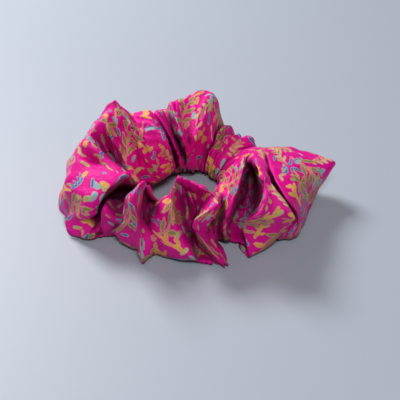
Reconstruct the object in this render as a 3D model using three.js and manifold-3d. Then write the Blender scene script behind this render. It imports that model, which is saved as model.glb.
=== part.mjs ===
// Scrunchie: a long fabric sleeve gathered on a small elastic loop.
// The sleeve and the loop are each cut on one plane across the ring, so that the two half rings
// can be pulled apart, which is how the elastic stretches.
// Millimetres, +Z up, the origin on the table under the middle of the scrunchie's box.

import * as THREE from "three";
import { ParametricGeometry } from "three/addons/geometries/ParametricGeometry.js";
import { mergeVertices } from "three/addons/utils/BufferGeometryUtils.js";
import Module from "manifold-3d";

const wasm = await Module();
wasm.setup();

// Driving dimensions
const gap = 0.3; // free space between neighbouring solids
const ringCentre = new THREE.Vector2(-7.15, -1); // middle of the elastic loop, seen from above
const elasticRadius = 24; // the relaxed loop's centreline
const elasticWidth = 6; // the band stands on edge, so this is its height
const elasticThickness = 1.2;
const elasticHeight = 10.5; // the band's middle above the table
const overlapAngle = 196; // degrees round the ring, where the band's ends are sewn together
const overlapLength = 14;
const holeRadius = 16.5; // the free hole inside the gathered sleeve
const tunnelWidth = 9; // radial room round the elastic, inside the gathers
const tunnelHeight = 9;
const threadRadius = 0.4;
const threadSteps = 2; // segments for each point that a thread passes
const zigzagTurns = 8; // points of the zigzag on the elastic's overlap
const zigzagShare = 0.8; // of the overlap's length
const zigzagMargin = 1; // from the band's edges
const closingSeamAngle = 45; // degrees round the ring, where the sleeve's two ends meet
const footSink = 2.5; // how much of each rounded section the table flattens
const sectionSquareness = 0.72; // 1 is an ellipse, smaller is boxier

// How far the ruffles reach from the ring's middle, and how high they stand, round the ring.
// at: degrees from +X towards +Y. foot: height of the underside above the table.
const ruffles = [
  { at: 3, reach: 69.4, top: 27, foot: 0 }, // right flap
  { at: 22, reach: 54, top: 26, foot: 0 },
  { at: 42, reach: 43, top: 22, foot: 3 }, // tight gathers at the closing seam
  { at: 60, reach: 47, top: 26, foot: 1 },
  { at: 78, reach: 56.6, top: 34, foot: 0 }, // back puff
  { at: 96, reach: 54, top: 38, foot: 0 },
  { at: 114, reach: 50, top: 38, foot: 0 },
  { at: 132, reach: 48, top: 43, foot: 0 },
  { at: 150, reach: 48, top: 47, foot: 0 }, // left peak
  { at: 168, reach: 51, top: 44, foot: 0 },
  { at: 186, reach: 55, top: 39, foot: 0 },
  { at: 202, reach: 57, top: 33, foot: 0 },
  { at: 216, reach: 53, top: 28, foot: 0 },
  { at: 232, reach: 47, top: 26, foot: 0 },
  { at: 250, reach: 51, top: 30, foot: 0 },
  { at: 268, reach: 51, top: 33, foot: 0 },
  { at: 284, reach: 55, top: 35, foot: 0 }, // front tip
  { at: 300, reach: 55, top: 36, foot: 0 },
  { at: 322, reach: 57, top: 35, foot: 0 },
  { at: 343, reach: 63, top: 33, foot: 0 },
];

const colours = { silk: 0xd1067f, elastic: 0xece6dc, thread: 0xb8056e };

const materialOf = (name, color, roughness) =>
  new THREE.MeshStandardMaterial({ name, color, roughness, metalness: 0 });
const silk = materialOf("silk", colours.silk, 0.45);
const elastic = materialOf("elastic", colours.elastic, 0.85);
const thread = materialOf("thread", colours.thread, 0.6);

const radians = THREE.MathUtils.degToRad;

// A point of the ring: degrees round it, distance from its middle, height above the table.
function ringPoint(degrees, radius, height, target = new THREE.Vector3()) {
  const angle = radians(degrees);
  return target.set(
    ringCentre.x + radius * Math.cos(angle),
    ringCentre.y + radius * Math.sin(angle),
    height,
  );
}

// The ruffles' reach, top and foot at any angle, eased between the two stations beside it.
function ruffleAt(degrees) {
  const first = ruffles[0].at;
  const turned = THREE.MathUtils.euclideanModulo(degrees - first, 360) + first;
  const next = ruffles.findIndex((station) => station.at > turned);
  const after = next < 0 ? { ...ruffles[0], at: first + 360 } : ruffles[next];
  const before = ruffles[(next < 0 ? ruffles.length : next) - 1];
  const share = THREE.MathUtils.smoothstep(turned, before.at, after.at);
  const eased = (key) => THREE.MathUtils.lerp(before[key], after[key], share);
  return { reach: eased("reach"), top: eased("top"), foot: eased("foot") };
}

// The radius and height of the gathered sleeve's outside, part way round one section.
function sectionPoint(degrees, share) {
  const { reach, top, foot } = ruffleAt(degrees);
  const halfWidth = (reach - holeRadius) / 2;
  const halfHeight = (top - foot + footSink) / 2;
  const turn = share * Math.PI * 2;
  const boxy = (value) => Math.sign(value) * Math.abs(value) ** sectionSquareness;
  return {
    radius: holeRadius + halfWidth + halfWidth * boxy(Math.cos(turn)),
    height: Math.max(foot, top - halfHeight + halfHeight * boxy(Math.sin(turn))),
  };
}

// manifold-3d needs bare positions with shared vertices merged.
function solidOf(geometry) {
  const bare = geometry.clone();
  bare.deleteAttribute("normal");
  bare.deleteAttribute("uv");
  const merged = mergeVertices(bare, 1e-3);
  return new wasm.Manifold(
    new wasm.Mesh({
      numProp: 3,
      vertProperties: merged.attributes.position.array,
      triVerts: new Uint32Array(merged.index.array),
    }),
  );
}

function geometryOf(solid) {
  const { vertProperties, triVerts } = solid.getMesh();
  const geometry = new THREE.BufferGeometry();
  geometry.setAttribute("position", new THREE.BufferAttribute(vertProperties, 3));
  geometry.setIndex(new THREE.BufferAttribute(triVerts, 1));
  geometry.computeVertexNormals();
  return geometry;
}

// One side of the plane that cuts the ring in two. side is -1 for the left and 1 for the right.
function halfSpace(side) {
  const size = 400; // well past the whole ring
  const box = new THREE.BoxGeometry(size, size, size);
  box.translate(ringCentre.x + (side * (size + gap)) / 2, ringCentre.y, 0);
  return solidOf(box);
}

// The gathered sleeve: a lumpy ring with a tunnel through it for the elastic.
function sleeveSolid() {
  const stations = 64;
  const sectionSides = 20;
  const outside = new ParametricGeometry(
    (round, share, target) => {
      const degrees = round * 360;
      const { radius, height } = sectionPoint(degrees, share);
      ringPoint(degrees, radius, height, target);
    },
    stations,
    sectionSides,
  );
  const halfWidth = tunnelWidth / 2;
  const halfHeight = tunnelHeight / 2;
  const corner = 2; // cut off each corner of the tunnel
  const profile = new THREE.Shape()
    .moveTo(halfWidth, 0)
    .lineTo(halfWidth, halfHeight - corner)
    .lineTo(halfWidth - corner, halfHeight)
    .lineTo(corner - halfWidth, halfHeight)
    .lineTo(-halfWidth, halfHeight - corner)
    .lineTo(-halfWidth, corner - halfHeight)
    .lineTo(corner - halfWidth, -halfHeight)
    .lineTo(halfWidth - corner, -halfHeight)
    .lineTo(halfWidth, corner - halfHeight)
    .lineTo(halfWidth, 0)
    .getPoints()
    .map((point) => new THREE.Vector2(elasticRadius + point.x, point.y));
  const tunnel = new THREE.LatheGeometry(profile, stations);
  tunnel.rotateX(Math.PI / 2);
  tunnel.translate(ringCentre.x, ringCentre.y, elasticHeight);
  const body = solidOf(outside);
  const bore = solidOf(tunnel);
  return body.subtract(bore);
}

// A stretch of the elastic band, standing on edge, between two angles at one radius.
function bandArc(fromDegrees, toDegrees, radius) {
  const outer = radius + elasticThickness / 2;
  const inner = radius - elasticThickness / 2;
  const from = radians(fromDegrees);
  const to = radians(toDegrees);
  const shape = new THREE.Shape();
  shape.absarc(0, 0, outer, from, to, false);
  shape.absarc(0, 0, inner, to, from, true);
  const band = new THREE.ExtrudeGeometry(shape, {
    depth: elasticWidth,
    bevelEnabled: false,
    curveSegments: 32,
  });
  band.translate(ringCentre.x, ringCentre.y, elasticHeight - elasticWidth / 2);
  return band;
}

// A thread along a list of points, as a thin six-sided tube.
function threadAlong(points, steps) {
  const round = new THREE.Shape();
  round.absarc(0, 0, threadRadius, 0, Math.PI * 2, false);
  return new THREE.ExtrudeGeometry(round, {
    steps,
    curveSegments: 6,
    bevelEnabled: false,
    extrudePath: new THREE.CatmullRomCurve3(points, false, "centripetal"),
  });
}

// Points round the ring between two angles, counting both ends.
function pointsRound(fromDegrees, toDegrees, count, place) {
  return Array.from({ length: count + 1 }, (_, index) =>
    place(THREE.MathUtils.lerp(fromDegrees, toDegrees, index / count), index),
  );
}

const scrunchie = new THREE.Group();

function addPiece(name, geometry, material) {
  const piece = new THREE.Mesh(geometry, material);
  piece.name = name;
  scrunchie.add(piece);
}

// Degrees of the ring that a length along the elastic's centreline takes.
const degreesFor = (length) => THREE.MathUtils.radToDeg(length / elasticRadius);

const sleeve = sleeveSolid();
addPiece("cover_left", geometryOf(sleeve.intersect(halfSpace(-1))), silk);
addPiece("cover_right", geometryOf(sleeve.intersect(halfSpace(1))), silk);

// The elastic's right half, and its two ends on the left, the last lying outside the first.
const splitGap = degreesFor(gap);
const overlapHalf = degreesFor(overlapLength) / 2;
const lapRadius = elasticRadius + elasticThickness + gap;
addPiece("elastic_right", bandArc(-90 + splitGap, 90 - splitGap, elasticRadius), elastic);
addPiece(
  "elastic_left_under_end",
  bandArc(90 + splitGap, overlapAngle + overlapHalf, elasticRadius),
  elastic,
);
addPiece(
  "elastic_left_over_end",
  bandArc(overlapAngle - overlapHalf, 270 - splitGap, lapRadius),
  elastic,
);

// Zigzag stitching on the overlap.
const zigzagHalfHeight = elasticWidth / 2 - zigzagMargin;
const zigzagHalf = overlapHalf * zigzagShare;
const zigzagRadius = lapRadius + elasticThickness / 2 + gap + threadRadius;
addPiece(
  "elastic_join_stitches",
  threadAlong(
    pointsRound(
      overlapAngle - zigzagHalf,
      overlapAngle + zigzagHalf,
      zigzagTurns,
      (degrees, index) =>
        ringPoint(
          degrees,
          zigzagRadius,
          elasticHeight + zigzagHalfHeight * (index % 2 ? 1 : -1),
        ),
    ),
    zigzagTurns * threadSteps * 2,
  ),
  thread,
);

// The sleeve's long seam runs inside it, beside the elastic.
const seamRadius = elasticRadius - tunnelWidth / 2 + gap + 3 * threadRadius;
const seamPoints = 24;
const seamMargin = splitGap * 2; // keeps each half's thread clear of the cut
for (const [name, from] of [
  ["long_seam_thread_left", 90],
  ["long_seam_thread_right", -90],
]) {
  addPiece(
    name,
    threadAlong(
      pointsRound(from + seamMargin, from + 180 - seamMargin, seamPoints, (degrees) =>
        ringPoint(degrees, seamRadius, elasticHeight),
      ),
      seamPoints * threadSteps,
    ),
    thread,
  );
}

// Topstitching right round the sleeve where its two ends meet. It starts and ends at the hole.
const closingPoints = 30;
const closingStart = 0.52; // share of the way round the section; 0.5 is the edge of the hole
const closingTurn = 0.96; // how much of the section the thread goes round
const standOff = gap + 2 * threadRadius;
const closingMiddle = (holeRadius + ruffleAt(closingSeamAngle).reach) / 2;
addPiece(
  "closing_seam_thread",
  threadAlong(
    Array.from({ length: closingPoints + 1 }, (_, index) => {
      const share = closingStart + (closingTurn * index) / closingPoints;
      const { radius, height } = sectionPoint(closingSeamAngle, share);
      const { top, foot } = ruffleAt(closingSeamAngle);
      const middle = (top + foot) / 2;
      const away = new THREE.Vector2(radius - closingMiddle, height - middle);
      away.setLength(away.length() + standOff);
      return ringPoint(closingSeamAngle, closingMiddle + away.x, middle + away.y);
    }),
    closingPoints * threadSteps,
  ),
  thread,
);

export default scrunchie;
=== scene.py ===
import math
import time

import bmesh
import bpy
import numpy as np
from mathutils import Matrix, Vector
from mathutils.kdtree import KDTree


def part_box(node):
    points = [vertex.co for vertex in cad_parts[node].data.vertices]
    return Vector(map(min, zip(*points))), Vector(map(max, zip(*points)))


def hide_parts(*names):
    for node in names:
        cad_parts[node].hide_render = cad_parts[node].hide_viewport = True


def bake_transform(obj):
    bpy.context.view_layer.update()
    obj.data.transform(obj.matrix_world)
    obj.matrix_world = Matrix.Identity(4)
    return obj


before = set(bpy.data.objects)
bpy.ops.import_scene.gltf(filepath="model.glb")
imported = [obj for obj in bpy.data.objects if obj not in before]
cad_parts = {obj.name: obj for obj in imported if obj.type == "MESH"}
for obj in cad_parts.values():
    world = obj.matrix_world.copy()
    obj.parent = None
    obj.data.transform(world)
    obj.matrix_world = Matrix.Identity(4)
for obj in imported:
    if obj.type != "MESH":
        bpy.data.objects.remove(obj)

# Silk scrunchie: a long printed sleeve gathered on a sewn elastic loop.
# Everything is in metres in the frame's own axes; sizes in the dictionaries are in millimetres.

mm = 0.001
started = time.time()
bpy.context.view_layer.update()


def report(stage):
    print(f"[scrunchie] {time.time() - started:6.1f}s  {stage}")


def addObject(name, data):
    thing = bpy.data.objects.new(name, data)
    bpy.context.scene.collection.objects.link(thing)
    return thing


def newMesh(name, vertices, faces):
    mesh = bpy.data.meshes.new(name)
    mesh.from_pydata(vertices, [], faces)
    mesh.update()
    return mesh


# the elastic loop gives the ring its middle, radius and height
bandLow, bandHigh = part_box("elastic_right")
ringRadius = (bandHigh.y - bandLow.y) / 2
ringMiddle = np.array([bandHigh.x - ringRadius, (bandLow.y + bandHigh.y) / 2, 0.0])
bandHeight = (bandLow.z + bandHigh.z) / 2
holeRadius = 16.5  # mm, the free hole inside the gathers

view = {
    "lens": 85.0,
    "elevation": 40.0,
    "distance": 434.4,
    "aim": (-0.46, -1.8, 0.0),  # from the middle of the scrunchie's footprint
}


def addCamera():
    data = bpy.data.cameras.new("camera")
    data.lens = view["lens"]
    data.clip_start = 0.01
    camera = addObject("camera", data)
    elevation = math.radians(view["elevation"])
    aim = Vector(view["aim"]) * mm
    back = Vector((0, -math.cos(elevation), math.sin(elevation)))
    camera.location = aim + back * view["distance"] * mm
    camera.rotation_euler = (math.pi / 2 - elevation, 0, 0)
    bpy.context.scene.camera = camera


addCamera()

sleeve = {
    "rows": 240,  # along the fabric
    "columns": 48,  # round the tube
    "crease": 0.85,  # 1 keeps every fold line sharp, 0 rounds them all
    "sectionCrease": 0.5,  # the same for the bends along one fold line
    "between": 12,  # points of the loft between two given ones
    "underside": 1.0,  # mm, height of the sleeve's underside at its middle
}

# Fold lines over the sleeve, going round from the closing seam by the back, the left and the front.
# Each starts at the foot of the hole, at its own angle in degrees. A tucked line lies close over the
# elastic first. Then come its points over the top and down to the outer foot, mm from the ring's middle.
folds = [
    # tight gathers
    (42, False, [(14, 13, 14), (18, 18, 22), (25, 24, 20), (28, 27, 9), (26, 25, 2)]),
    (47, True, [(19, 22, 17), (23, 26, 14), (24, 28, 5)]),
    (52, False, [(11, 15, 16), (17, 23, 25), (22, 30, 21), (24, 32, 7), (23, 31, 2)]),
    (57, True, [(15, 25, 19), (19, 31, 15), (19, 32, 5)]),
    # back puff
    (61, False, [(11, 19, 9), (12, 17, 20), (15, 25, 27), (19, 37, 14), (18, 36, 3)]),
    (65, False, [(8, 16, 7), (10, 21, 25), (13, 31, 35), (16, 44, 16), (15, 43, 3)]),
    (72, False, [(6, 15, 6), (8, 15, 28), (11, 33, 36), (12, 52, 20), (11, 50, 3)]),
    (78, False, [(4, 13, 6), (4, 10, 28), (6, 36, 36), (6, 51, 16), (5, 49, 3)]),
    (82, False, [(2, 10, 9), (2, 9, 21), (0, 18, 28), (-1, 29, 36), (2, 47, 17), (2, 47, 3)]),
    (86, False, [(1, 8, 12), (1, 4, 24), (-3, 9, 35), (-7, 22, 38), (-3, 49, 20), (-3, 48, 3)]),
    (90, False, [(-1, 10, 10), (-1, 13, 14), (-5, 16, 24), (-10, 26, 32), (-6, 45, 16), (-6, 45, 3)]),
    (94, False, [(-2, 5, 15), (-2, 2, 22), (-8, 8, 33), (-13, 17, 37), (-10, 48, 16), (-10, 46, 3)]),
    (101, False, [(-5, 11, 8), (-7, 15, 17), (-11, 21, 24), (-15, 26, 28), (-13, 41, 14),
                  (-13, 41, 3)]),
    # left puff and its peak
    (112, False, [(-5, 0, 20), (-6, -2, 31), (-10, 4, 37), (-16, 13, 39), (-18, 41, 16), (-18, 41, 3)]),
    (123, False, [(-8, 1, 14), (-11, -1, 28), (-16, 4, 36), (-21, 14, 38), (-27, 39, 20),
                  (-26, 39, 3)]),
    (132, False, [(-10, 0, 12), (-14, -3, 27), (-19, 4, 34), (-24, 15, 37), (-28, 33, 16),
                  (-28, 33, 3)]),
    (142, False, [(-12, -1, 11), (-17, -6, 27), (-21, -2, 38), (-27, 13, 43), (-34, 32, 22),
                  (-34, 31, 3)]),
    (155, False, [(-16, -5, 12), (-21, -3, 26), (-26, 4, 38), (-31, 13, 47), (-41, 25, 26),
                  (-40, 26, 3)]),
    (160, False, [(-18, -6, 14), (-24, -3, 25), (-29, 5, 33), (-33, 14, 42), (-41, 21, 20),
                  (-39, 21, 3)]),
    (166, False, [(-19, -9, 17), (-26, -6, 27), (-32, -2, 37), (-36, 6, 43), (-46, 18, 22),
                  (-46, 19, 3)]),
    (176, False, [(-21, -13, 21), (-29, -3, 23), (-36, 4, 28), (-40, 1, 38), (-48, 12, 20),
                  (-48, 13, 3)]),
    (184, False, [(-23, -17, 26), (-31, -9, 28), (-38, -9, 35), (-44, -5, 36), (-53, 5, 18),
                  (-52, 6, 3)]),
    (191, False, [(-24, -21, 31), (-33, -13, 29), (-40, -7, 27), (-47, -9, 31), (-54, -4, 12),
                  (-52, -3, 3)]),
    (197, False, [(-23, -25, 35), (-31, -22, 31), (-39, -19, 30), (-50, -16, 25), (-56, -12, 12),
                  (-55, -11, 2)]),
    # lower left lobe and the lip of its pocket
    (205, False, [(-24, -27, 36), (-28, -27, 32), (-34, -28, 26), (-42, -27, 25), (-52, -19, 20),
                  (-53, -18, 8), (-52, -18, 2)]),
    (208, False, [(-25, -21, 28), (-30, -23, 25), (-36, -24, 21), (-37, -28, 18), (-42, -30, 19),
                  (-49, -20, 13), (-48, -21, 2)]),
    (213, True, [(-29, -6, 11), (-33, -10, 11), (-37, -20, 14), (-37, -28, 15), (-43, -29, 14),
                 (-53, -21, 6), (-50, -27, 1)]),
    (218, True, [(-29, -8, 8), (-34, -11, 7), (-37, -17, 7), (-38, -28, 8), (-43, -31, 5),
                 (-44, -29, 1)]),
    (222, True, [(-29, -12, 9), (-33, -12, 6), (-36, -18, 6), (-38, -27, 6), (-39, -29, 1)]),
    (225, True, [(-30, -15, 12), (-33, -24, 20), (-34, -30, 22), (-35, -31, 19), (-36, -30, 12),
                 (-38, -26, 1)]),
    (228, True, [(-28, -19, 12), (-31, -28, 18), (-31, -31, 18), (-32, -30, 10), (-34, -28, 1)]),
    (231, True, [(-25, -20, 13), (-26, -25, 12), (-27, -31, 14), (-29, -30, 8), (-31, -26, 1)]),
    # tall narrow flap
    (234, True, [(-17, -27, 32), (-19, -34, 36), (-22, -37, 36), (-24, -39, 33), (-24, -39, 22),
                 (-30, -33, 9), (-29, -30, 1)]),
    (238, True, [(-16, -30, 34), (-17, -38, 38), (-19, -41, 37), (-20, -43, 33), (-19, -41, 22),
                 (-21, -37, 9), (-21, -37, 1)]),
    (242, True, [(-15, -24, 26), (-17, -25, 24), (-18, -25, 19), (-18, -29, 16), (-17, -35, 15),
                 (-18, -42, 9), (-18, -45, 1)]),
    (246, True, [(-16, -18, 15), (-16, -24, 13), (-15, -31, 12), (-14, -39, 12), (-15, -42, 8),
                 (-16, -43, 1)]),
    (250, True, [(-15, -23, 16), (-16, -27, 14), (-15, -34, 14), (-12, -40, 13), (-12, -39, 8),
                 (-13, -37, 1)]),
    # front panel
    (256, True, [(-13, -24, 17), (-14, -30, 18), (-14, -34, 17), (-12, -38, 14), (-9, -41, 11),
                 (-8, -44, 12), (-8, -40, 1)]),
    (262, False, [(-9, -27, 22), (-9, -34, 21), (-8, -38, 16), (-5, -42, 10), (-3, -45, 10),
                  (-1, -42, 1)]),
    (267, False, [(-5, -27, 29), (-5, -34, 29), (-4, -39, 22), (0, -42, 12), (3, -46, 8), (6, -44, 1)]),
    # nested curl in the middle of the front, and the front tip
    (271, False, [(-4, -24, 29), (-3, -23, 25), (-1, -21, 17), (0, -26, 15), (2, -30, 8),
                  (4, -36, 3), (11, -45, 1)]),
    (276, False, [(-3, -23, 32), (-1, -22, 26), (1, -21, 18), (2, -26, 15), (3, -30, 8), (6, -37, 3),
                  (13, -45, 1)]),
    (280, False, [(1, -25, 32), (2, -21, 24), (3, -28, 24), (5, -31, 21), (4, -31, 12), (7, -38, 5),
                  (12, -44, 1)]),
    (284, False, [(5, -28, 32), (5, -25, 25), (5, -25, 18), (5, -30, 14), (4, -33, 8), (8, -40, 3),
                  (14, -45, 1)]),
    (288, False, [(10, -31, 31), (9, -28, 25), (8, -28, 18), (5, -32, 13), (5, -35, 9), (9, -41, 4),
                  (16, -45, 1)]),
    (292, False, [(12, -24, 23), (15, -37, 29), (10, -42, 29), (5, -44, 27), (4, -44, 22),
                  (8, -42, 12), (18, -47, 1)]),
    (297, False, [(14, -19, 19), (16, -31, 22), (14, -36, 20), (10, -38, 17), (11, -36, 8),
                  (19, -47, 1)]),
    # right front ruffles and the deep pocket between them
    (302, False, [(13, -11, 17), (15, -20, 17), (14, -28, 12), (13, -31, 6), (15, -32, 2)]),
    (308, False, [(17, -8, 19), (20, -22, 20), (17, -32, 18), (15, -34, 12), (16, -30, 1)]),
    (315, False, [(25, -3, 27), (25, -18, 32), (23, -29, 33), (20, -37, 31), (18, -40, 25),
                  (17, -38, 15), (18, -30, 1)]),
    (320, False, [(26, -2, 24), (26, -5, 14), (24, -9, 6), (21, -17, 4), (19, -25, 4), (19, -31, 1)]),
    (325, False, [(27, 1, 20), (29, 0, 10), (28, -6, 3), (26, -14, 2.5), (24, -22, 3), (23, -32, 1)]),
    (330, True, [(29, 2, 20), (32, -2, 13), (32, -8, 5), (31, -16, 4), (29, -24, 5), (27, -34, 1)]),
    (336, False, [(28, -1, 27), (31, -20, 34), (33, -31, 35), (34, -39, 35), (33, -44, 32),
                  (29, -45, 28), (25, -42, 24), (24, -39, 18), (26, -38, 8), (28, -42, 1)]),
    (342, True, [(31, 1, 28), (33, -23, 34), (35, -33, 32), (38, -39, 27), (36, -38, 16),
                 (32, -37, 1)]),
    (347, True, [(33, 2, 28), (35, -23, 33), (39, -32, 31), (43, -39, 28), (46, -43, 25),
                 (42, -35, 13), (37, -33, 1)]),
    (351, True, [(34, 3, 27), (37, -16, 25), (41, -18, 16), (45, -24, 12), (46, -29, 9), (40, -31, 1)]),
    (355, True, [(35, 2, 28), (38, -24, 30), (42, -33, 28), (47, -35, 22), (49, -30, 10),
                 (45, -29, 1)]),
    # right flap and its point
    (0, True, [(37, 4, 27), (44, -10, 27), (49, -20, 24), (52, -24, 14), (50, -27, 8), (48, -27, 1)]),
    (7, True, [(40, 6, 25), (48, -4, 25), (56, -10, 19), (56, -11, 14), (54, -12, 6), (55, -16, 1)]),
    (13, True, [(43, 7, 24), (53, 1, 24), (62, 3, 21), (69, 4, 18), (62, 2, 8), (58, -1, 2)]),
    (18, True, [(39, 9, 23), (58, 8, 21), (64, 7, 12), (56, 5, 3)]),
    (25, True, [(32, 13, 21), (42, 13, 19), (48, 13, 8), (43, 12, 2)]),
    # tight gathers again
    (30, True, [(26, 15, 17), (34, 17, 14), (35, 18, 3)]),
    (34, False, [(15, 11, 15), (23, 16, 23), (32, 21, 20), (34, 22, 6), (32, 21, 2)]),
    (38, False, [(16, 13, 13), (22, 18, 17), (28, 22, 14), (29, 23, 4)]),
]
footHeight = 4.6  # of the first point of every line
tucks = [(20.5, 12), (24.8, 15.2)]  # distance from the middle and height of a tucked line over the elastic


def smoothLoop(points, steps, crease=0.0):
    # a closed curve through the points; crease pulls it towards straight lines between them
    points = np.asarray(points, float)
    before, after, beyond = np.roll(points, 1, 0), np.roll(points, -1, 0), np.roll(points, -2, 0)
    share = (np.arange(steps) / steps).reshape((1, steps) + (1,) * (points.ndim - 1))
    p0, p1, p2, p3 = (p[:, None] for p in (before, points, after, beyond))
    curve = 0.5 * (
        2 * p1
        + (p2 - p0) * share
        + (2 * p0 - 5 * p1 + 4 * p2 - p3) * share**2
        + (3 * p1 - p0 - 3 * p2 + p3) * share**3
    )
    straight = p1 + (p2 - p1) * share
    mixed = curve * (1 - crease) + straight * crease
    return mixed.reshape((-1,) + points.shape[1:])


def evenly(points, count):
    # the same closed curve with evenly spaced points; the spacing is averaged over any middle axis
    around = np.concatenate([points, points[:1]])
    steps = np.linalg.norm(np.diff(around, axis=0), axis=-1)
    if steps.ndim > 1:
        steps = steps.mean(axis=1)
    along = np.concatenate([[0], np.cumsum(steps)])
    wanted = np.linspace(0, along[-1], count, endpoint=False)
    flat = around.reshape(len(around), -1)
    even = np.stack([np.interp(wanted, along, flat[:, k]) for k in range(flat.shape[1])], axis=1)
    return even.reshape((count,) + points.shape[1:]), along[-1]


def loftSleeve():
    sections = []
    for degrees, tucked, over in folds:
        turn = math.radians(degrees)
        start = [(holeRadius, footHeight)] + (tucks if tucked else [])
        start = [(out * math.cos(turn), out * math.sin(turn), height) for out, height in start]
        middle = ((start[0][0] + over[-1][0]) / 2, (start[0][1] + over[-1][1]) / 2, sleeve["underside"])
        section = np.array(start + over + [middle], float)
        section = smoothLoop(section, sleeve["between"], sleeve["sectionCrease"])
        sections.append(evenly(section, sleeve["columns"])[0])
    dense = smoothLoop(np.array(sections), sleeve["between"], sleeve["crease"])
    rows, length = evenly(dense, sleeve["rows"])
    report(f"sleeve lofted, {length:.0f} mm along, sections "
           f"{np.linalg.norm(np.roll(rows, -1, 1) - rows, axis=2).sum(1).mean():.0f} mm round")
    return rows


drape = {
    "steps": 60,
    "growth": 0.025,  # how much longer the cloth is than its lofted shape, which lets it buckle
    "hold": 0.04,  # pull back to the lofted shape at each step
    "stiffness": 0.012,  # resistance to tight bends
    "apart": 1.7,  # least distance between two layers
    "oneLayer": 3,  # points that are this few rows and columns apart belong to one layer
    "recheck": 40,  # steps between two searches for layers that touch
    "pull": 0.22,  # share of each correction made in one step
    "sag": 0.004,
    "table": 0.35,  # least height of the cloth's middle line
}


def offsets(points, reach):
    # from each point to the one that is so many rows and columns further
    return np.roll(points, (-reach[0], -reach[1]), (0, 1)) - points


def pullTogether(points, rest, reach, strength, total):
    # moves each pair of points that far apart on the grid towards its own length at rest
    offset = offsets(points, reach)
    length = np.linalg.norm(offset, axis=2, keepdims=True)
    shift = offset * (0.5 * strength * (1 - rest / np.maximum(length, 1e-9)))
    total += shift - np.roll(shift, reach, (0, 1))


def restLengths(points, reach):
    return np.linalg.norm(offsets(points, reach), axis=2, keepdims=True) * (1 + drape["growth"])


def closePairs(points, apart):
    # pairs of points of different layers that are nearly touching
    flat = points.reshape(-1, 3)
    tree = KDTree(len(flat))
    for number, point in enumerate(flat):
        tree.insert(point, number)
    tree.balance()
    columns = points.shape[1]
    pairs = []
    for number, point in enumerate(flat):
        for _, other, _ in tree.find_range(point, apart):
            if other > number:
                acrossRows = abs(other // columns - number // columns)
                acrossColumns = abs(other % columns - number % columns)
                acrossRows = min(acrossRows, points.shape[0] - acrossRows)
                acrossColumns = min(acrossColumns, columns - acrossColumns)
                if acrossRows + acrossColumns > drape["oneLayer"]:
                    pairs.append((number, other))
    return np.array(pairs, int).reshape(-1, 2)


def keepApart(points, pairs, apart, total):
    flat, moved = points.reshape(-1, 3), total.reshape(-1, 3)
    offset = flat[pairs[:, 1]] - flat[pairs[:, 0]]
    length = np.linalg.norm(offset, axis=1, keepdims=True)
    shift = offset * (0.5 * np.maximum(apart / np.maximum(length, 1e-6) - 1, 0))
    np.add.at(moved, pairs[:, 1], shift)
    np.add.at(moved, pairs[:, 0], -shift)


def drapeSleeve(points):
    # relaxes the lofted cloth: it keeps its length, resists tight bends, stays apart from itself
    # and lies on the table
    held = points.copy()
    links = [((1, 0), 0.9), ((0, 1), 0.9), ((1, 1), 0.4), ((1, -1), 0.4)]  # reach on the grid, strength
    links = [(reach, strength, restLengths(points, reach)) for reach, strength in links]
    pairs = np.zeros((0, 2), int)
    for step in range(drape["steps"]):
        if step % drape["recheck"] == 0:
            pairs = closePairs(points, drape["apart"])
        total = np.zeros_like(points)
        for reach, strength, rest in links:
            pullTogether(points, rest, reach, strength, total)
        total *= drape["pull"]
        for axis in (0, 1):
            for reach in (1, 2):
                middle = (np.roll(points, reach, axis) + np.roll(points, -reach, axis)) / 2
                bend = (middle - points) * drape["stiffness"]
                total += bend - (np.roll(bend, reach, axis) + np.roll(bend, -reach, axis)) / 2
        keepApart(points, pairs, drape["apart"], total)
        points = points + total + (held - points) * drape["hold"]
        points[:, :, 2] = np.maximum(points[:, :, 2] - drape["sag"], drape["table"])
    report(f"sleeve draped, {len(pairs)} pairs of points near touching")
    return points


crumple = {
    "seed": 11,
    "creases": 26,  # soft lines across the cloth, each with its own direction and spacing
    "spacing": (5, 20),  # mm between one crease line and the next
    "height": 0.4,
    "bendy": (0.6, 11, 13),  # how far the crease lines bend, and over how many mm along x and y
    "level": 0.64,  # mean of a crease wave, so that the creases don't swell the cloth
    "pleats": 47,  # small gathers round the hole
    "pleatHeight": 0.55,
    "pleatReach": 13,  # how far from the hole the gathers run out
    "swing": (5, 0.7, 1.4),  # how often, from where and how far the gathers drift sideways
    "bandRoom": 3.9,  # clear distance kept round the elastic's middle
    "table": 0.45,
}


def doubled(points):
    # twice as many rows and columns, on a smooth curve through the old ones
    finer = smoothLoop(points, 2)
    return smoothLoop(finer.swapaxes(0, 1), 2).swapaxes(0, 1)


def normalsOf(points):
    along = np.roll(points, -1, 0) - np.roll(points, 1, 0)
    across = np.roll(points, -1, 1) - np.roll(points, 1, 1)
    normals = np.cross(across, along)
    return normals / np.maximum(np.linalg.norm(normals, axis=2, keepdims=True), 1e-9)


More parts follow.
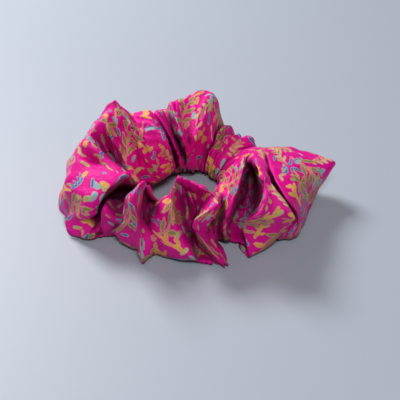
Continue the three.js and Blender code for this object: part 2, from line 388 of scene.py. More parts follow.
def crumpleSleeve(points):
    # small creases everywhere and fine gathers round the hole
    random = np.random.default_rng(crumple["seed"])
    lift = np.zeros(points.shape[:2])
    bendFar, bendX, bendY = crumple["bendy"]
    for _ in range(crumple["creases"]):
        direction = random.normal(size=3)
        direction /= np.linalg.norm(direction)
        spacing = random.uniform(*crumple["spacing"])
        phase = random.uniform(0, math.tau)
        bendy = bendFar * np.sin(points[:, :, 0] / bendX + points[:, :, 1] / bendY + phase * 3)
        wave = np.abs(np.sin(points @ direction * math.pi / spacing + phase + bendy))
        lift += (crumple["level"] - wave) * spacing / crumple["spacing"][1]
    lift *= crumple["height"]
    radius = np.hypot(points[:, :, 0], points[:, :, 1])
    angle = np.arctan2(points[:, :, 1], points[:, :, 0])
    often, phase, far = crumple["swing"]
    swing = far * np.sin(angle * often + phase) + points[:, :, 2] * 0.1
    near = np.exp(-(((radius - holeRadius) / crumple["pleatReach"]) ** 2))
    lift += crumple["pleatHeight"] * near * np.sin(crumple["pleats"] * angle + swing)
    points = points + normalsOf(points) * lift[:, :, None]
    # keep clear of the elastic and of the table
    radius = np.hypot(points[:, :, 0], points[:, :, 1])
    outward = points[:, :, :2] / radius[:, :, None]
    offset = np.stack([radius - ringRadius / mm, points[:, :, 2] - bandHeight / mm], axis=2)
    distance = np.linalg.norm(offset, axis=2)
    inside = distance < crumple["bandRoom"]
    push = (crumple["bandRoom"] / np.maximum(distance, 0.5) - 1)[:, :, None] * offset
    points[:, :, :2] += np.where(inside[:, :, None], push[:, :, :1] * outward, 0)
    points[:, :, 2] += np.where(inside, push[:, :, 1], 0)
    points[:, :, 2] = np.maximum(points[:, :, 2], crumple["table"])
    report(f"sleeve crumpled, {int(inside.sum())} points moved off the elastic")
    return points


# Paints of the print: what each one is filled with and what it is edged with.
paints = {
    "gold": ((0.82, 0.40, 0.07), (0.80, 0.45, 0.16)),
    "leaf": ((0.29, 0.25, 0.08), (0.70, 0.33, 0.20)),
    "slate": ((0.045, 0.18, 0.33), (0.30, 0.42, 0.56)),
    "mist": ((0.30, 0.44, 0.50), (0.40, 0.47, 0.48)),
    "lime": ((0.40, 0.44, 0.15), (0.55, 0.44, 0.17)),
    "peach": ((0.66, 0.29, 0.17), (0.70, 0.34, 0.20)),
    "straw": ((0.60, 0.54, 0.20), (0.64, 0.50, 0.24)),
}
paintNames = list(paints)

printing = {
    "seed": 23,
    "slots": 6,  # brush strokes that one face of the mesh can carry
    "spacing": 8.2,  # mm between the middles of neighbouring motifs
    "fillSpacing": 4.8,  # the same for the small dabs in the spaces left over
    "sizes": (1.1, 1.55),
    "tries": 9000,
    "near": 1.0,  # a face this close to a stroke carries it
    "reach": (60, 16),  # rows and columns that a motif may cover either way
    "far": 50.0,  # mm, the place given to faces with no stroke
    "wobbles": 97,  # how many different wobbles strokes may have
}


def stroke(x, y, turn, half, width, paint, bend=0.0, taper=0.3):
    # one stroke of the brush: its middle, its direction in degrees, half its length and half its width
    return (x, y, math.radians(turn), half, width, bend, paintNames.index(paint) + taper)


def twig(random):
    strokes = [stroke(0, 0, 0, 4.4, 0.8, "gold", random.uniform(-0.03, 0.03))]
    for side, at in ((1, -2.6), (-1, -0.4), (1, 1.6), (-1, 3.4)):
        turn = side * random.uniform(42, 70)
        half = random.uniform(1.1, 2.0)
        x = at + half * math.cos(math.radians(turn))
        y = half * math.sin(math.radians(turn))
        strokes.append(stroke(x, y, turn, half, 0.75, "gold", random.uniform(-0.08, 0.08)))
    return strokes


def branch(random):
    strokes = [stroke(0, 0, 0, 6.8, 0.55, "peach", 0.012)]
    for number, at in enumerate(np.linspace(-5, 5, 6)):
        side = 1 if number % 2 else -1
        turn = side * random.uniform(36, 58)
        half = random.uniform(2.2, 3.0)
        x = at + (half + 0.5) * math.cos(math.radians(turn))
        y = (half + 0.5) * math.sin(math.radians(turn))
        strokes.append(stroke(x, y, turn, half, 1.0, "leaf", side * 0.03, 0.75))
    return strokes + [stroke(8.2, 0.8, 6, 2.2, 0.95, "leaf", 0, 0.75)]


def comb(random):
    strokes = [stroke(0, 0, 0, 4.6, 0.7, "slate", 0.05)]
    for at in (-3.6, -1.6, 0.6, 2.8):
        turn = random.uniform(70, 110)
        strokes.append(stroke(at, 0.05 * at * at + 1.1, turn, 1.0, 0.55, "slate"))
    return strokes


def scribble(random):
    strokes = []
    side = random.choice((-1, 1))
    for number, at in enumerate((-4.4, -1.5, 1.4, 4.3)):
        bend = side * (0.26 if number % 2 else -0.26)
        rise = 0.5 * side * (1 if number % 2 else -1)
        strokes.append(stroke(at, rise, 0, 1.7, 0.55, "slate", bend))
    return strokes + [stroke(0.5, 2.4, 65, 1.6, 0.5, "slate", 0.1)]


def pebbles(random):
    strokes = []
    for x, y, turn in ((-2.6, 0.6, 20), (0.6, -1.2, 65), (2.8, 1.5, 10)):
        turn += random.uniform(-25, 25)
        strokes.append(stroke(x, y, turn, random.uniform(0.6, 1.2), 0.95, "mist", 0, 0.02))
    return strokes + [stroke(0.2, 2.6, random.uniform(-30, 30), 1.3, 0.75, "lime", 0, 0.3)]


def zigzag(random):
    paint = random.choice(("straw", "lime"))
    return [stroke(-4 + 1.7 * k, 0, 48 if k % 2 else -48, 1.25, 0.6, paint) for k in range(5)]


def blossom(random):
    strokes = []
    for turn in (-80, -30, 25, 75, 160):
        half = random.uniform(2.1, 2.9)
        x = (half + 0.4) * math.cos(math.radians(turn))
        y = (half + 0.4) * math.sin(math.radians(turn))
        paint = random.choice(("leaf", "peach", "leaf"))
        strokes.append(stroke(x, y, turn, half, 1.05, paint, 0.02, 0.6))
    return strokes + [stroke(-3.4, -1.2, 20, 2.0, 0.75, "gold", 0.06)]


def fern(random):
    strokes = [stroke(0, 0, 0, 4.2, 0.6, "peach", 0.03)]
    for at in (-3, -1, 1, 3):
        for side in (-1, 1):
            turn = side * random.uniform(50, 66)
            x = at + 1.4 * math.cos(math.radians(turn))
            y = 1.4 * math.sin(math.radians(turn))
            paint = random.choice(("peach", "straw"))
            strokes.append(stroke(x, y, turn, 1.3, 0.55, paint, 0.04))
    return strokes


def dab(random):
    paint = random.choice(("gold", "mist", "lime", "peach", "slate", "straw"))
    half, width, bend = random.uniform(0.5, 1.6), random.uniform(0.6, 0.85), random.uniform(-0.1, 0.1)
    return [stroke(0, 0, 0, half, width, paint, bend, 0.2)]


motifs = [twig, branch, comb, scribble, pebbles, zigzag, blossom, fern]
motifShares = np.array([0.24, 0.14, 0.12, 0.11, 0.14, 0.06, 0.11, 0.08])


def spreadMotifs(points):
    # motif middles at least their own spacing apart, then dabs in what is left
    random = np.random.default_rng(printing["seed"])
    rows, columns = points.shape[:2]
    taken, kept = [], []
    for spacing, filling in ((printing["spacing"], False), (printing["fillSpacing"], True)):
        for place in random.permutation(rows * columns)[:printing["tries"]]:
            row, column = divmod(int(place), columns)
            point = points[row, column]
            if kept and np.min(np.sum((np.array(kept) - point) ** 2, axis=1)) < spacing**2:
                continue
            kind = dab if filling else motifs[random.choice(len(motifs), p=motifShares / sum(motifShares))]
            kept.append(point)
            taken.append((row, column, kind, random.uniform(0, 360), random.uniform(*printing["sizes"])))
    return taken, random


def runLength(patch, axis):
    # how far each point of the patch lies along that axis, measured on the cloth
    steps = np.cumsum(np.linalg.norm(np.diff(patch, axis=axis), axis=2), axis)
    return np.concatenate([np.zeros_like(np.take(steps, [0], axis)), steps], axis)


def paintSleeve(points):
    # which strokes lie on each face: for each of its corners the place along and across the stroke
    # and the stroke's own wobble, and the stroke's half length, half width and paint
    rows, columns = points.shape[:2]
    slots = printing["slots"]
    score = np.full((slots, rows, columns), np.inf)
    order = np.full((slots, rows, columns), -1, int)
    place = np.full((slots, rows, columns, 4, 3), printing["far"])
    shape = np.zeros((slots, rows, columns, 4, 3))
    cornerRow, cornerColumn = (0, 0, 1, 1), (0, 1, 1, 0)
    taken, random = spreadMotifs(points)
    number = 0
    tall, wide = printing["reach"]
    rowRange, columnRange = np.arange(-tall, tall + 1), np.arange(-wide, wide + 1)
    for row, column, kind, turn, size in taken:
        i, j = (row + rowRange) % rows, (column + columnRange) % columns
        patch = points[np.ix_(i, j)]
        along, across = (runLength(patch, axis) for axis in (0, 1))
        along = (along - along[tall]) / size
        across = (across - across[:, wide:wide + 1]) / size
        for x, y, angle, half, width, bend, paint in kind(random):
            total = angle + math.radians(turn)
            cos, sin = math.cos(math.radians(turn)), math.sin(math.radians(turn))
            # u runs along the stroke and v across it
            dx = along - (x * cos - y * sin)
            dy = across - (x * sin + y * cos)
            u = dx * math.cos(total) + dy * math.sin(total)
            v = -dx * math.sin(total) + dy * math.cos(total)
            v = v - bend * np.clip(u, -half, half) ** 2
            away = np.hypot(np.maximum(np.abs(u) - half, 0), v) - width
            corners = [away[a:a + 2 * tall, b:b + 2 * wide] for a, b in zip(cornerRow, cornerColumn)]
            closest = np.min(corners, axis=0) * size
            hit = np.argwhere(closest < printing["near"])
            if not len(hit):
                continue
            fi, fj = i[hit[:, 0]], j[hit[:, 1]]
            worst = np.argmax(score[:, fi, fj], axis=0)
            better = closest[hit[:, 0], hit[:, 1]] < score[worst, fi, fj]
            hit, fi, fj, worst = hit[better], fi[better], fj[better], worst[better]
            score[worst, fi, fj] = closest[hit[:, 0], hit[:, 1]]
            order[worst, fi, fj] = number
            for corner, (a, b) in enumerate(zip(cornerRow, cornerColumn)):
                place[worst, fi, fj, corner, 0] = u[hit[:, 0] + a, hit[:, 1] + b] * size
                place[worst, fi, fj, corner, 1] = v[hit[:, 0] + a, hit[:, 1] + b] * size
                place[worst, fi, fj, corner, 2] = number % printing["wobbles"]
            shape[worst, fi, fj] = (half * size, width * size, paint)
            number += 1
    ranked = np.argsort(order, axis=0)
    place = np.take_along_axis(place, ranked[:, :, :, None, None], axis=0)
    shape = np.take_along_axis(shape, ranked[:, :, :, None, None], axis=0)
    report(f"print laid out, {len(taken)} motifs of {number} strokes")
    return place, shape


hem = {
    "overlap": 8,  # rows of the sleeve's end that lie over its beginning
    "rise": 10,  # rows over which the end climbs onto its beginning
    "lift": 0.75,
    "thickness": 0.28,
    "table": (0.12, 0.1),  # least height of the outer and of the inner skin
}


def sewnSleeve(points, place, shape):
    # the cloth with its real thickness: two skins, and one end laid over the other at the closing seam
    rows, columns = points.shape[:2]
    lap, rise = hem["overlap"], hem["rise"]
    ramp = np.zeros(rows + lap)
    ramp[rows - rise:] = np.clip((np.arange(rise + lap) + 1) / rise, 0, 1)
    ramp = ramp * ramp * (3 - 2 * ramp)
    normals = normalsOf(points)
    normals = np.concatenate([normals, normals[:lap]])
    longer = np.concatenate([points, points[:lap]]) + normals * (ramp * hem["lift"])[:, None, None]
    longer[:, :, 2] = np.maximum(longer[:, :, 2], hem["table"][0])
    inner = longer - normals * hem["thickness"]
    inner[:, :, 2] = np.maximum(inner[:, :, 2], hem["table"][1])
    count = (rows + lap) * columns
    index = np.arange(count).reshape(rows + lap, columns)
    beside = np.roll(index, -1, 1)
    outerFaces = np.stack([index[:-1], beside[:-1], beside[1:], index[1:]], axis=-1).reshape(-1, 4)
    innerFaces = outerFaces[:, ::-1] + count
    firstRim = np.stack([index[0], index[0] + count, beside[0] + count, beside[0]], axis=-1)
    lastRim = np.stack([index[-1], beside[-1], beside[-1] + count, index[-1] + count], axis=-1)
    faces = np.concatenate([outerFaces, innerFaces, firstRim, lastRim])
    vertices = ringMiddle + np.concatenate([longer, inner]).reshape(-1, 3) * mm
    mesh = newMesh("silk_sleeve", vertices.tolist(), faces.tolist())
    faceRows = np.arange(rows + lap - 1) % rows
    plainPlace = np.full((len(faces) - len(outerFaces), 4, 3), printing["far"])
    plainShape = np.zeros_like(plainPlace)
    for slot in range(printing["slots"]):
        for name, values, plain in (("place", place, plainPlace), ("shape", shape, plainShape)):
            data = np.concatenate([values[slot][faceRows].reshape(-1, 4, 3), plain])
            layer = mesh.attributes.new(f"{name}{slot}", "FLOAT_VECTOR", "CORNER")
            layer.data.foreach_set("vector", data.astype(np.float32).ravel())
    steps = np.linalg.norm(np.roll(points, -1, 0) - points, axis=2).mean()
    rowNumber, columnNumber = np.meshgrid(np.arange(rows + lap), np.arange(columns + 1), indexing="ij")
    flatU = rowNumber * steps / 100
    flatV = columnNumber / columns
    corners = [(0, 0), (0, 1), (1, 1), (1, 0)]
    last = rows + lap - 1
    uv = np.stack([np.stack([flatU[a:last + a, b:columns + b], flatV[a:last + a, b:columns + b]], axis=-1)
                   for a, b in corners], axis=2).reshape(-1, 4, 2)
    rest = np.zeros((len(faces) - 2 * len(outerFaces), 4, 2))
    uvLayer = mesh.uv_layers.new(name="cloth")
    uvLayer.data.foreach_set("uv", np.concatenate([uv, uv[:, ::-1], rest]).astype(np.float32).ravel())
    mesh.polygons.foreach_set("use_smooth", [True] * len(mesh.polygons))
    return addObject("silk_sleeve", mesh), longer


cloth = loftSleeve()
cloth = drapeSleeve(cloth)
cloth = crumpleSleeve(doubled(cloth))
cover, laid = sewnSleeve(cloth, *paintSleeve(cloth))
report("sleeve built")

# colours are for the shader's linear light; lengths are in metres where no mm stands beside them
silkLook = {
    "ground": (0.90, 0.001, 0.38, 1),
    "deep": (0.74, 0.001, 0.20, 1),
    "roughness": 0.42,
    "specular": 0.2,
    "sheen": 0.07,
    "sheenRoughness": 0.35,
    "sheenTint": (1, 0.3, 0.75, 1),
    "relief": (0.8, 0.0014),  # strength and depth
    "broad": 45.0,  # scale of the slow change between the two ground colours
    "dryBrush": (2600.0, 0.58, 2.2),  # scale of the gaps in the paint, where they begin, how strong they are
    "slub": (60.0, 420.0, 1.0),  # how often the yarn thickens along and round the sleeve
    "weave": 90.0,
    "creases": 210.0,
    "gathers": (34.0, 5.0, 1.0),
    "shares": (0.06, 0.12, 0.55, 0.05, 0.6),  # of the relief: weave, slubs, creases, paint and gathers
    "paintRoughness": 0.12,
    "slubRoughness": 0.16,
    "edge": 0.42,  # share of a stroke's half width that its edging takes
    "soft": 0.22,  # mm over which a stroke's outline fades
    "edgeSoft": 0.2,  # the same between its edging and its filling
    "wobble": 0.34,  # mm that a stroke's edge wanders
    "paintedShade": (0.10, 0.0, 0.02, 1),  # painted shade: the colour laid deep between two folds
    "foldDepth": 0.014,
    "foldFrom": 0.62,  # how open a place may be before the painted shade darkens it
    "foldShade": 1.8,
}


class Nodes:
    # short ways to add and join nodes in one tree
    def __init__(self, tree):
        self.tree = tree

    def add(self, kind, inputs=(), **settings):
        node = self.tree.nodes.new(kind)
        for name, value in settings.items():
            setattr(node, name, value)
        for socket, value in dict(inputs).items():
            if isinstance(value, bpy.types.NodeSocket):
                self.tree.links.new(value, node.inputs[socket])
            else:
                node.inputs[socket].default_value = value
        return node

    def maths(self, operation, *values, clamp=False):
        return self.add("ShaderNodeMath", enumerate(values), operation=operation, use_clamp=clamp).outputs[0]

    def vector(self, operation, *values):
        return self.add("ShaderNodeVectorMath", enumerate(values), operation=operation).outputs[0]

    def noise(self, where, scale, detail, output="Fac", **more):
        inputs = {"Vector": where, "Scale": scale, "Detail": detail, **more}
        return self.add("ShaderNodeTexNoise", inputs).outputs[output]

    def ramp(self, factor, colours):
        node = self.add("ShaderNodeValToRGB", {"Fac": factor})
        node.color_ramp.interpolation = "CONSTANT"
        points = node.color_ramp.elements
        for number, colour in enumerate(colours):
            point = points[number] if number < len(points) else points.new(1)
            point.position = number / len(colours)
            point.color = (*colour, 1)
        return node.outputs["Color"]

    def mix(self, factor, first, second):
        node = self.add("ShaderNodeMix", data_type="RGBA")
        for socket, value in ((0, factor), (6, first), (7, second)):
            if isinstance(value, bpy.types.NodeSocket):
                self.tree.links.new(value, node.inputs[socket])
            else:
                node.inputs[socket].default_value = value
        return node.outputs[2]

    def finish(self, colour, height, strength, distance, rough):
        # joins the three things that every shader here has: its colour, its relief and its roughness
        bump = self.add("ShaderNodeBump", {"Height": height, "Strength": strength, "Distance": distance})
        shader = self.tree.nodes["Principled BSDF"]
        for socket, value in (("Base Color", colour), ("Normal", bump.outputs[0]), ("Roughness", rough)):
            self.tree.links.new(value, shader.inputs[socket])
        return shader


def strokeGroup():
    # paints one brush stroke over the colour beneath it
    group = bpy.data.node_groups.new("brush stroke", "ShaderNodeTree")
    for name, kind in (("Under", "NodeSocketColor"), ("Place", "NodeSocketVector"),
                       ("Shape", "NodeSocketVector"), ("Wobble", "NodeSocketVector")):
        group.interface.new_socket(name, in_out="INPUT", socket_type=kind)
    group.interface.new_socket("Colour", in_out="OUTPUT", socket_type="NodeSocketColor")
    group.interface.new_socket("Cover", in_out="OUTPUT", socket_type="NodeSocketFloat")
    nodes = Nodes(group)
    given = nodes.add("NodeGroupInput").outputs
    wandering = nodes.vector("ADD", given["Place"], given["Wobble"])
    place = nodes.add("ShaderNodeSeparateXYZ", {0: wandering}).outputs
    shape = nodes.add("ShaderNodeSeparateXYZ", {0: given["Shape"]}).outputs
    alongStroke = nodes.maths("ABSOLUTE", place[0])
    past = nodes.maths("MAXIMUM", nodes.maths("SUBTRACT", alongStroke, shape[0]), 0.0)
    reach = nodes.maths("SQRT", nodes.maths("ADD", nodes.maths("MULTIPLY", past, past),
                                            nodes.maths("MULTIPLY", place[1], place[1])))
    taper = nodes.maths("FRACT", shape[2])
    share = nodes.maths("DIVIDE", alongStroke, nodes.maths("MAXIMUM", shape[0], 0.01), clamp=True)
    slim = nodes.maths("SUBTRACT", 1.0, nodes.maths("MULTIPLY", taper, nodes.maths("MULTIPLY", share, share)))
    distance = nodes.maths("SUBTRACT", reach, nodes.maths("MULTIPLY", shape[1], slim))
    mask = nodes.maths("SUBTRACT", 0.5, nodes.maths("DIVIDE", distance, silkLook["soft"]), clamp=True)
    mask = nodes.maths("MULTIPLY", mask, nodes.maths("GREATER_THAN", shape[1], 0.05))
    deeper = nodes.maths("ADD", distance, nodes.maths("MULTIPLY", shape[1], silkLook["edge"]))
    inner = nodes.maths("SUBTRACT", 0.5, nodes.maths("DIVIDE", deeper, silkLook["edgeSoft"]), clamp=True)
    paint = nodes.maths("DIVIDE", nodes.maths("ADD", nodes.maths("FLOOR", shape[2]), 0.5), float(len(paints)))
    fill = nodes.ramp(paint, [fill for fill, edge in paints.values()])
    edging = nodes.ramp(paint, [edge for fill, edge in paints.values()])
    colour = nodes.mix(mask, given["Under"], nodes.mix(inner, edging, fill))
    nodes.add("NodeGroupOutput", {"Colour": colour, "Cover": mask})
    return group


def newMaterial(name):
    material = bpy.data.materials.new(name)
    material.use_nodes = True
    return material, Nodes(material.node_tree)


def silkMaterial():
    material, nodes = newMaterial("printed_silk")
    where = nodes.add("ShaderNodeTexCoord").outputs["Object"]
    cloth = nodes.add("ShaderNodeUVMap", uv_map="cloth").outputs[0]
    broad = nodes.noise(where, silkLook["broad"], 3.0)
    ground = nodes.mix(broad, silkLook["ground"], silkLook["deep"])
    wander = nodes.vector("SUBTRACT", nodes.noise(where, 900.0, 2.0, output="Color"), (0.5, 0.5, 0.5))
    wobble = nodes.vector("MULTIPLY", wander, (silkLook["wobble"] * 4,) * 3)
    group = strokeGroup()
    colour, covered = ground, 0.0
    for slot in range(printing["slots"]):
        place = nodes.add("ShaderNodeAttribute", attribute_name=f"place{slot}").outputs["Vector"]
        shape = nodes.add("ShaderNodeAttribute", attribute_name=f"shape{slot}").outputs["Vector"]
        given = {"Under": colour, "Place": place, "Shape": shape, "Wobble": wobble}
        painted = nodes.add("ShaderNodeGroup", given, node_tree=group)
        colour = painted.outputs["Colour"]
        covered = nodes.maths("MAXIMUM", painted.outputs["Cover"], covered)
    # dry brush: the ground shows a little through the paint
    scale, begin, strength = silkLook["dryBrush"]
    dry = nodes.maths("SUBTRACT", nodes.noise(where, scale, 2.0), begin, clamp=True)
    thin = nodes.maths("MULTIPLY", dry, strength, clamp=True)
    colour = nodes.mix(nodes.maths("MULTIPLY", thin, covered), colour, ground)
    # painted shade: the colour darkens towards a deep red where nearby folds hide the surface from light
    openness = nodes.add("ShaderNodeAmbientOcclusion", {"Distance": silkLook["foldDepth"]}, samples=8)
    shade = nodes.maths("SUBTRACT", silkLook["foldFrom"], openness.outputs["AO"])
    shade = nodes.maths("MULTIPLY", shade, silkLook["foldShade"], clamp=True)
    colour = nodes.mix(shade, colour, silkLook["paintedShade"])
    # woven threads, slubs and small creases
    slub = nodes.noise(nodes.vector("MULTIPLY", cloth, silkLook["slub"]), 1.0, 2.0)
    wave = {"Vector": cloth, "Scale": silkLook["weave"], "Distortion": 0.4}
    weft = nodes.add("ShaderNodeTexWave", wave, bands_direction="X").outputs["Fac"]
    warp = nodes.add("ShaderNodeTexWave", wave, bands_direction="Y").outputs["Fac"]
    weave = nodes.maths("MULTIPLY", weft, warp)
    creases = nodes.noise(where, silkLook["creases"], 4.0, Roughness=0.6)
    gathers = nodes.noise(nodes.vector("MULTIPLY", cloth, silkLook["gathers"]), 1.0, 3.0, Distortion=0.7)
    height = 0.0
    for relief, share in zip((weave, slub, creases, covered, gathers), silkLook["shares"]):
        height = nodes.maths("ADD", nodes.maths("MULTIPLY", relief, share), height)
    onPaint = nodes.maths("MULTIPLY", covered, silkLook["paintRoughness"])
    onSlubs = nodes.maths("MULTIPLY", nodes.maths("SUBTRACT", slub, 0.5), silkLook["slubRoughness"])
    rough = nodes.maths("ADD", nodes.maths("ADD", silkLook["roughness"], onPaint), onSlubs)
    shader = nodes.finish(colour, height, *silkLook["relief"], rough)
    shader.inputs["Sheen Weight"].default_value = silkLook["sheen"]
    shader.inputs["Sheen Roughness"].default_value = silkLook["sheenRoughness"]
    shader.inputs["Sheen Tint"].default_value = silkLook["sheenTint"]
    shader.inputs["Specular IOR Level"].default_value = silkLook["specular"]
    return material


cover.data.materials.append(silkMaterial())


# bakes the piece's placement into its mesh and hides the parts of model.glb that it stands in for
def finishPiece(piece, slot, *nodes):
    # every piece stretches the same way, so that they stay together
    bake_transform(piece)
    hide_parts(*nodes)


def tubeMesh(name, sections):
    # one mesh of separate tubes; each is an array of steps x sides x 3, in mm from the ring's middle
    vertices, faces, uvs = [], [], []
    for section in sections:
        steps, sides = section.shape[:2]
        index = np.arange(steps * sides).reshape(steps, sides) + len(vertices)
        beside = np.roll(index, -1, 1)
        faces += np.stack([index[:-1], beside[:-1], beside[1:], index[1:]], axis=-1).reshape(-1, 4).tolist()
        along = np.concatenate([[0], np.cumsum(np.linalg.norm(np.diff(section.mean(1), axis=0), axis=1))])
        for step in range(steps - 1):
            for side in range(sides):
                uvs += [(along[step], side / sides), (along[step], (side + 1) / sides),
                        (along[step + 1], (side + 1) / sides), (along[step + 1], side / sides)]
        faces.append(index[0][::-1].tolist())
        faces.append(index[-1].tolist())
        uvs += [(0, 0)] * (2 * sides)
        vertices += (ringMiddle + section.reshape(-1, 3) * mm).tolist()
    mesh = newMesh(name, vertices, faces)
    layer = mesh.uv_layers.new(name="length")
    layer.data.foreach_set("uv", np.array(uvs, np.float32).ravel())
    mesh.polygons.foreach_set("use_smooth", [len(face) == 4 for face in faces])
    check = bmesh.new()
    check.from_mesh(mesh)
    bmesh.ops.recalc_face_normals(check, faces=check.faces)
    check.to_mesh(mesh)
    check.free()
    return addObject(name, mesh)


band = {
    "overlapAt": 196,  # degrees round the ring, where the two ends are sewn together
    "overlap": 14,  # mm
    "lap": 1.5,  # how much further out the over end runs
    "slope": (226, 40),  # degrees: where that end starts to come in, and over how many it does so
    "height": 6.0,
    "thickness": 1.2,
    "ribs": 7,
    "ribDepth": 0.10,
    "plaitDepth": 0.07,
    "plaitEvery": 2.5,  # steps from one crossing of the yarns to the next
    "groove": 0.12,  # how far ribs and plait are sunk into the thickness
    "squareness": 10,  # how square the band's edges are
    "across": 29,  # points over one side of the band
    "steps": 520,
}


def bandPoint(angle, radius, height):
    return np.stack([radius * np.cos(angle), radius * np.sin(angle), height + 0 * angle], axis=-1)


def elasticBand():
    # a braided band on edge; its first stretch lies outside its last
    loop = ringRadius / mm
    half = math.degrees(band["overlap"] / loop) / 2
    degrees = np.linspace(band["overlapAt"] - half, 360 + band["overlapAt"] + half, band["steps"])
    slopeFrom, slopeOver = band["slope"]
    ease = np.clip((degrees - slopeFrom) / slopeOver, 0, 1)
    radius = loop + band["lap"] * (1 - ease * ease * (3 - 2 * ease))
    angle = np.radians(degrees)
    across = np.linspace(-1, 1, band["across"])
    edge = np.sqrt(np.clip(1 - np.abs(across) ** band["squareness"], 0, 1))
    rib = band["ribDepth"] * np.cos(across * math.pi * band["ribs"])
    sections = []
    for number in range(band["steps"]):
        crossing = number * math.pi / band["plaitEvery"]
        plait = band["plaitDepth"] * np.cos(crossing + np.abs(across * band["ribs"]) * math.pi)
        side = band["thickness"] / 2 * edge + (rib + plait - band["groove"]) * edge
        height = bandHeight / mm + across * band["height"] / 2
        out = np.stack([radius[number] + side, height], axis=-1)
        back = np.stack([radius[number] - side, height], axis=-1)[::-1]
        profile = np.concatenate([out[:-1], back[:-1]])
        turn = np.full(len(profile), angle[number])
        sections.append(bandPoint(turn, profile[:, 0], 0) + np.stack([0 * turn, 0 * turn, profile[:, 1]], -1))
    return tubeMesh("elastic_band", [np.array(sections)])


sewing = {
    "radius": 0.3,  # of the thread
    "sides": 10,
    "twist": 5.0,  # turns of its two plies for each 10 mm
    "plyDepth": 0.16,
    "zigzags": 9,
    "zigzagShare": 0.8,  # of the overlap's length
    "zigzagMargin": 1.0,  # clear of the band's edges
    "zigzagRise": (-0.05, 0.42),  # height over the band at a stitch's ends, and how much more in its middle
    "seamStitch": 2.3,
    "seamRadius": 21.0,
    "seamRise": 0.2,
    "seamDrift": ((0.4, 7), (0.25, 11)),  # how far and how often the seam wanders up and outwards
    "topStitch": 2.6,
    "topRise": (0.12, 0.16),  # height over the cloth at a stitch's ends, and how much more in its middle
    "space": 0.5,  # between one stitch and the next
}


def threadTube(path):
    # a two-ply thread along a path whose ends sink into the cloth
    path = np.asarray(path, float)
    ahead = np.gradient(path, axis=0)
    ahead /= np.maximum(np.linalg.norm(ahead, axis=1, keepdims=True), 1e-9)
    side = np.cross(ahead, (0.13, 0.21, 0.97))  # any direction that no stitch runs along
    side /= np.linalg.norm(side, axis=1, keepdims=True)
    up = np.cross(side, ahead)
    length = np.concatenate([[0], np.cumsum(np.linalg.norm(np.diff(path, axis=0), axis=1))])
    turns = np.linspace(0, math.tau, sewing["sides"], endpoint=False)
    share = np.linspace(-1, 1, len(path))
    slim = np.sqrt(np.clip(1.02 - share**8, 0.05, 1))
    twist = (length * sewing["twist"] * math.tau / 10)[:, None]
    plies = 1 + sewing["plyDepth"] * np.cos(2 * (turns[None, :] - twist))
    reach = sewing["radius"] * slim[:, None] * plies
    return path[:, None] + reach[:, :, None] * (
        np.cos(turns)[None, :, None] * side[:, None] + np.sin(turns)[None, :, None] * up[:, None])


def joinStitches():
    # zigzag through both ends of the band
    half = sewing["zigzagShare"] * band["overlap"] / 2 / (ringRadius / mm)
    corners = band["height"] / 2 - sewing["zigzagMargin"]
    face = ringRadius / mm + band["lap"] + band["thickness"] / 2
    middle = math.radians(band["overlapAt"])
    low, rise = sewing["zigzagRise"]
    tubes = []
    for number in range(sewing["zigzags"]):
        share = np.linspace(0, 1, 12)
        angle = middle - half + 2 * half * (number + share) / sewing["zigzags"]
        height = bandHeight / mm + corners * (1 - 2 * share) * (1 if number % 2 else -1)
        radius = face + low + rise * np.sin(share * math.pi) ** 0.6
        tubes.append(threadTube(bandPoint(angle, radius, 0) + np.stack([0 * share, 0 * share, height], -1)))
    return tubeMesh("elastic_join_stitching", tubes)


def seamStitches():
    # the sleeve's long seam, sewn inside out, so that it ends up inside beside the elastic
    around = math.tau * sewing["seamRadius"]
    step = sewing["seamStitch"] + sewing["space"]
    count = int(around / step)
    (upFar, upOften), (outFar, outOften) = sewing["seamDrift"]
    along = np.linspace(0, 1, 9)
    arch = sewing["seamRise"] * np.sin(along * math.pi)
    tubes = []
    for number in range(count):
        angle = math.tau * (number + along * sewing["seamStitch"] / step) / count
        height = bandHeight / mm + upFar * np.sin(angle * upOften) + arch
        radius = sewing["seamRadius"] + outFar * np.sin(angle * outOften)
        tubes.append(threadTube(bandPoint(angle, radius, 0) + np.stack([0 * angle, 0 * angle, height], -1)))
    return tubeMesh("long_seam_stitching", tubes)


def closingStitches(laid):
    # topstitching right round the sleeve, near the edge of its upper end
    row = len(laid) - hem["overlap"] // 2
    line = laid[row]
    outward = normalsOf(laid)[row]
    closed = np.concatenate([line, line[:1]])
    raised = np.concatenate([outward, outward[:1]])
    length = np.concatenate([[0], np.cumsum(np.linalg.norm(np.diff(closed, axis=0), axis=1))])
    step = sewing["topStitch"] + sewing["space"]
    low, rise = sewing["topRise"]
    count = int(length[-1] / step)
    tubes = []
    for number in range(count):
        share = np.linspace(0, 1, 9)
        at = (number + share * sewing["topStitch"] / step) * length[-1] / count
        path = np.stack([np.interp(at, length, closed[:, k]) for k in range(3)], axis=1)
        up = np.stack([np.interp(at, length, raised[:, k]) for k in range(3)], axis=1)
        path += up * (low + rise * np.sin(share * math.pi))[:, None]
        path[:, 2] = np.maximum(path[:, 2], sewing["radius"] * 1.3)
        tubes.append(threadTube(path))
    return tubeMesh("closing_seam_stitching", tubes)


elasticLook = {
    "stripes": (0.5, 7.0, 1.0),  # how often the plait repeats along and round
    "scale": 1.6,
    "distortion": 1.5,
    "fibres": (1500.0, 3.0),  # scale and detail of the fuzz
    "dark": (0.66, 0.61, 0.53, 1),
    "light": (0.90, 0.87, 0.81, 1),
    "roughness": (0.7, 0.25),  # the least, and how much the fuzz adds
    "relief": (0.6, 0.0003),  # strength and depth
    "sheen": 0.3,
}
threadLook = {
    "stripes": (2.0, 2.0, 1.0),
    "scale": 1.0,
    "distortion": 0.6,
    "fibres": (2500.0, 2.0),
    "dark": (0.42, 0.001, 0.12, 1),
    "light": (0.74, 0.01, 0.28, 1),
    "roughness": (0.4, 0.3),
    "relief": (0.5, 0.0001),
    "sheen": 0.2,
}


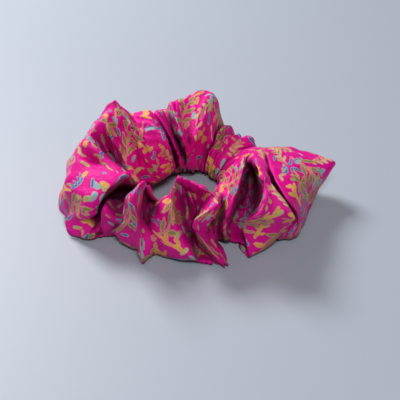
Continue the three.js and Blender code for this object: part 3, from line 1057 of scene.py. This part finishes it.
def yarnMaterial(name, look):
    # slanting yarns with fuzz over them, for the braid and for the thread
    material, nodes = newMaterial(name)
    length = nodes.add("ShaderNodeUVMap", uv_map="length").outputs[0]
    stripes = nodes.vector("MULTIPLY", length, look["stripes"])
    wave = {"Vector": stripes, "Scale": look["scale"], "Distortion": look["distortion"]}
    yarns = nodes.add("ShaderNodeTexWave", wave, bands_direction="DIAGONAL").outputs["Fac"]
    where = nodes.add("ShaderNodeTexCoord").outputs["Object"]
    fibres = nodes.noise(where, *look["fibres"])
    shade = nodes.maths("MULTIPLY", nodes.maths("ADD", yarns, fibres), 0.5)
    colour = nodes.mix(shade, look["dark"], look["light"])
    least, more = look["roughness"]
    rough = nodes.maths("ADD", least, nodes.maths("MULTIPLY", fibres, more))
    shader = nodes.finish(colour, shade, *look["relief"], rough)
    shader.inputs["Sheen Weight"].default_value = look["sheen"]
    return material


finishPiece(cover, "silk", "cover_left", "cover_right")
elastic = elasticBand()
elastic.data.materials.append(yarnMaterial("braided_elastic", elasticLook))
finishPiece(elastic, "elastic", "elastic_right", "elastic_left_under_end", "elastic_left_over_end")
thread = yarnMaterial("sewing_thread", threadLook)
join, seam, closing = joinStitches(), seamStitches(), closingStitches(laid)
for piece, nodes in ((join, ["elastic_join_stitches"]), (closing, ["closing_seam_thread"]),
                     (seam, ["long_seam_thread_left", "long_seam_thread_right"])):
    piece.data.materials.append(thread)
    finishPiece(piece, "thread", *nodes)
report("elastic and stitching built")

backdrop = {
    "reach": 2.0,  # metres from the middle to each side of the floor
    "floor": (0.405, 0.44, 0.51, 1),
    "sky": (0.9, 0.92, 1, 1),
    "skyStrength": 0.13,
}
side = backdrop["reach"]
floorCorners = [(-side, -side, 0), (side, -side, 0), (side, side, 0), (-side, side, 0)]
floorMesh = newMesh("floor", floorCorners, [(0, 1, 2, 3)])
floor = addObject("floor", floorMesh)
paper, _ = newMaterial("paper")
paper.node_tree.nodes["Principled BSDF"].inputs["Base Color"].default_value = backdrop["floor"]
floorMesh.materials.append(paper)

lamps = {
    # name: power, size, where it hangs; metres
    "window": (6.4, 0.3, (-0.36, 0.42, 0.56)),
    "overhead": (3.7, 0.2, (0.04, -0.53, 0.75)),
}


def addLamps():
    for name, (power, size, place) in lamps.items():
        light = bpy.data.lights.new(name, "AREA")
        light.size = size
        light.energy = power
        lamp = addObject(name, light)
        lamp.location = place
        lamp.rotation_euler = (-Vector(place)).to_track_quat("-Z", "Y").to_euler()


addLamps()
world = bpy.data.worlds.new("world")
bpy.context.scene.world = world
world.use_nodes = True
sky = world.node_tree.nodes["Background"]
sky.inputs["Color"].default_value = backdrop["sky"]
sky.inputs["Strength"].default_value = backdrop["skyStrength"]
bpy.context.scene.view_settings.view_transform = "Standard"
